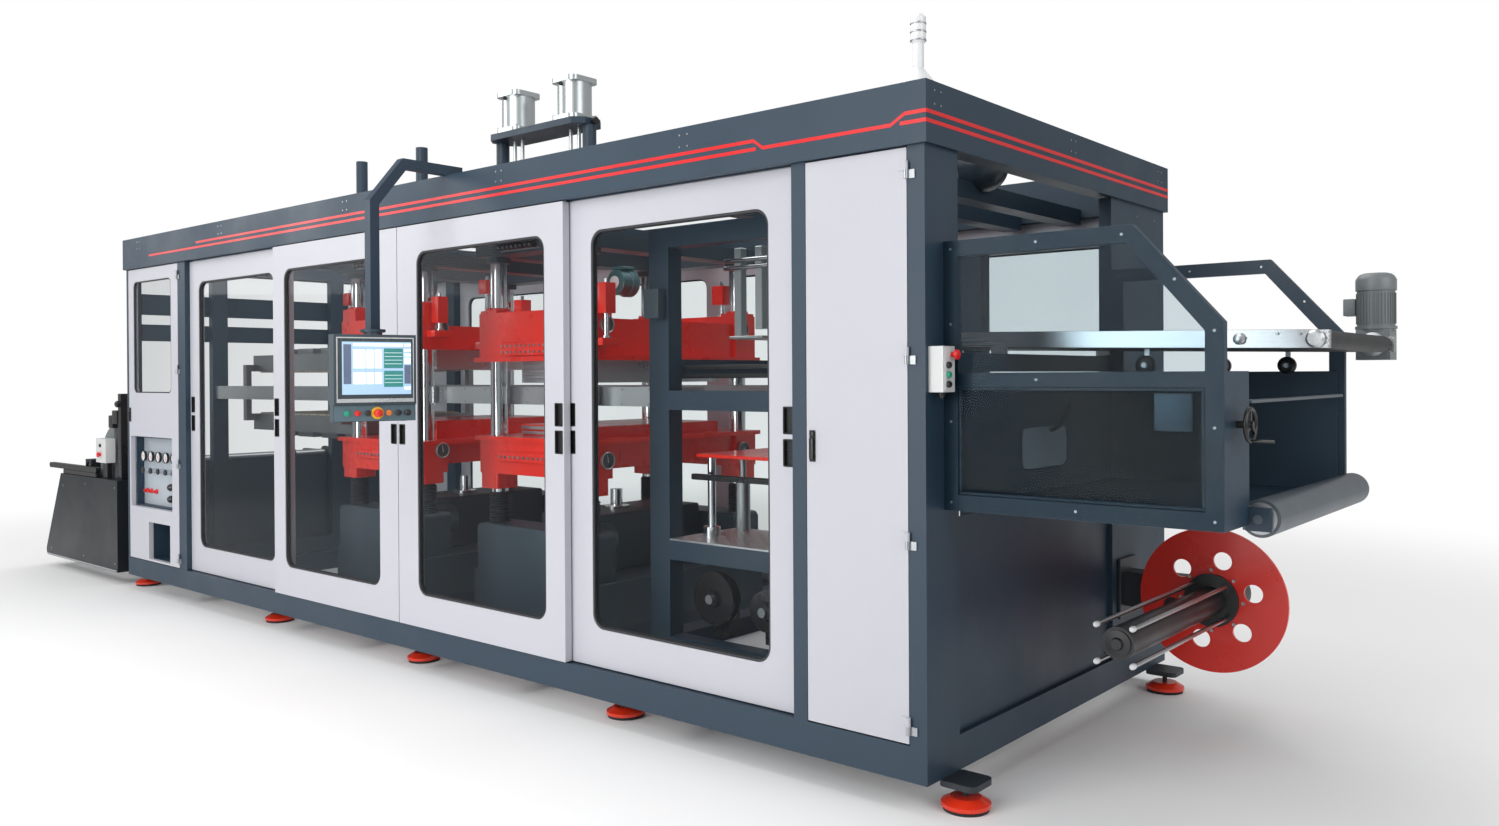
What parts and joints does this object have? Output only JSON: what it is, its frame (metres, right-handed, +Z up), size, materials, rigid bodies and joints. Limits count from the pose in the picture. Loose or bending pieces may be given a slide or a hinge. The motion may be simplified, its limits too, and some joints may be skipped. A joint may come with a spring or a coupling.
{
  "type": "thermoforming machine",
  "caption": "In-line plastic thermoforming machine with sliding glazed doors, column presses, stacking station, outfeed conveyor, scrap winder, film unwinder and hanging control screen.",
  "frame": {"origin": "on the floor under the middle of the outline in plan", "axes": "+X runs with the film towards the delivery end, -Y faces the operator, +Z is up"},
  "size_m": [9.8061, 2.9504, 3.39],
  "materials": {
    "slate_paint": "fine textured powder coat",
    "door_paint": "satin powder coat",
    "clear_glazing": "clear polycarbonate",
    "tinted_glazing": "lightly tinted polycarbonate",
    "foot_rubber": "matt moulded",
    "foot_red": "gloss enamel",
    "foot_steel": "painted plate",
    "hinge_steel": "zinc plated",
    "board_paint": "satin",
    "column_chrome": "ground and hard chromed",
    "press_slate": "satin enamel on castings",
    "press_red": "gloss enamel on castings",
    "tool_aluminium": "milled",
    "rail_aluminium": "anodised extrusion",
    "tread_aluminium": "tread plate",
    "heater_steel": "satin sheet",
    "cabinet_paint": "satin",
    "tank_paint": "satin",
    "cylinder_aluminium": "anodised profile",
    "beacon_plastic": "moulded",
    "screen_paint": "fine textured",
    "box_plastic": "moulded",
    "roller_grey": "satin coated tube",
    "wheel_black": "moulded",
    "belt_rubber": "smooth belt",
    "motor_grey": "cast, enamelled",
    "disc_red": "gloss enamel",
    "core_black": "satin",
    "rod_steel": "drawn bar",
    "bracket_slate": "satin",
    "charcoal_paint": "fine textured",
    "shaft_steel": "ground bar"
  },
  "bodies": {
    "machine": {"long_beams": "slate_paint", "cross_ties": "slate_paint", "posts": "slate_paint", "fascia_long": "slate_paint", "fascia_ends": "slate_paint", "foot_pads": "foot_rubber", "foot_discs": "foot_red", "foot_plates": "foot_steel", "service_hinges": "hinge_steel", "regulator_board": "board_paint", "rear_frames": "door_paint", "rear_panes": "clear_glazing", "end_panels": "slate_paint", "press_columns": "column_chrome", "press_frames": "press_slate", "film_rails": "rail_aluminium", "heaters": "heater_steel", "stack_frame": "slate_paint", "stack_deck": "tread_aluminium", "drive_cabinet": "cabinet_paint", "air_tank": "tank_paint", "roof_platform": "slate_paint", "roof_cylinders": "cylinder_aluminium", "roof_posts": "slate_paint", "beacon": "beacon_plastic", "pendant_arm": "slate_paint", "end_control_box": "box_plastic", "guard_frames": "slate_paint", "guard_glazing": "tinted_glazing", "roller_brackets": "slate_paint", "conveyor_rails": "rail_aluminium", "conveyor_belt": "belt_rubber", "conveyor_gearmotor": "motor_grey", "winder_bracket": "bracket_slate", "unwinder_side_boxes": "charcoal_paint", "unwinder_frame": "slate_paint", "unwinder_roll": "shaft_steel"},
    "left_service_door": {"left_service_door": "door_paint", "left_service_pane": "clear_glazing"},
    "right_service_door": {"right_service_door": "door_paint"},
    "screen": {"screen_housing": "screen_paint"},
    "guide_roller": {"guide_roller": "roller_grey"},
    "handwheel": {"handwheel": "wheel_black"},
    "winder": {"winder_disc": "disc_red", "winder_core": "core_black", "winder_rods": "rod_steel"},
    "door_1": {"door_1_frame": "door_paint", "door_1_pane": "clear_glazing"},
    "door_2": {"door_2_frame": "door_paint", "door_2_pane": "clear_glazing"},
    "door_3": {"door_3_frame": "door_paint", "door_3_pane": "clear_glazing"},
    "door_4": {"door_4_frame": "door_paint", "door_4_pane": "clear_glazing"},
    "press_1_upper": {"press_1_upper_platen": "press_red", "press_1_tool": "tool_aluminium"},
    "press_1_lower": {"press_1_lower_platen": "press_red"},
    "press_2_upper": {"press_2_upper_platen": "press_red", "press_2_tool": "tool_aluminium"},
    "press_2_lower": {"press_2_lower_platen": "press_red"}
  },
  "joints": [
    {"name": "door_1_slide", "type": "slide", "parent": "machine", "child": "door_1", "axis": [1, 0, 0], "range_m": [0, 1.19]},
    {"name": "door_2_slide", "type": "slide", "parent": "machine", "child": "door_2", "axis": [-1, 0, 0], "range_m": [0, 1.19]},
    {"name": "door_3_slide", "type": "slide", "parent": "machine", "child": "door_3", "axis": [1, 0, 0], "range_m": [0, 1.19]},
    {"name": "door_4_slide", "type": "slide", "parent": "machine", "child": "door_4", "axis": [-1, 0, 0], "range_m": [0, 1.19]},
    {"name": "left_service_hinge", "type": "hinge", "parent": "machine", "child": "left_service_door", "pos_m": [-2.3005, -0.85279, 1.31], "axis": [0, 0, 1], "range_deg": [0, 100]},
    {"name": "right_service_hinge", "type": "hinge", "parent": "machine", "child": "right_service_door", "pos_m": [3.6805, -0.85279, 1.31], "axis": [0, 0, 1], "range_deg": [0, 100]},
    {"name": "screen_swivel", "type": "hinge", "parent": "machine", "child": "screen", "pos_m": [0.8975, -1.27279, 1.792], "axis": [0, 0, 1], "range_deg": [-120, 60]},
    {"name": "press_1_upper_slide", "type": "slide", "parent": "machine", "child": "press_1_upper", "axis": [0, 0, -1], "range_m": [0, 0.1]},
    {"name": "press_1_lower_slide", "type": "slide", "parent": "machine", "child": "press_1_lower", "axis": [0, 0, 1], "range_m": [0, 0.1]},
    {"name": "press_2_upper_slide", "type": "slide", "parent": "machine", "child": "press_2_upper", "axis": [0, 0, -1], "range_m": [0, 0.1]},
    {"name": "press_2_lower_slide", "type": "slide", "parent": "machine", "child": "press_2_lower", "axis": [0, 0, 1], "range_m": [0, 0.1]},
    {"name": "guide_roller_spin", "type": "hinge", "parent": "machine", "child": "guide_roller", "pos_m": [4.7625, 0.30721, 1.1], "axis": [0, 1, 0], "continuous": true},
    {"name": "handwheel_spin", "type": "hinge", "parent": "machine", "child": "handwheel", "pos_m": [4.7325, -0.59779, 1.407], "axis": [1, 0, 0], "continuous": true},
    {"name": "winder_spin", "type": "hinge", "parent": "machine", "child": "winder", "pos_m": [4.1775, 0.30721, 0.56], "axis": [0, 1, 0], "continuous": true}
  ]
}
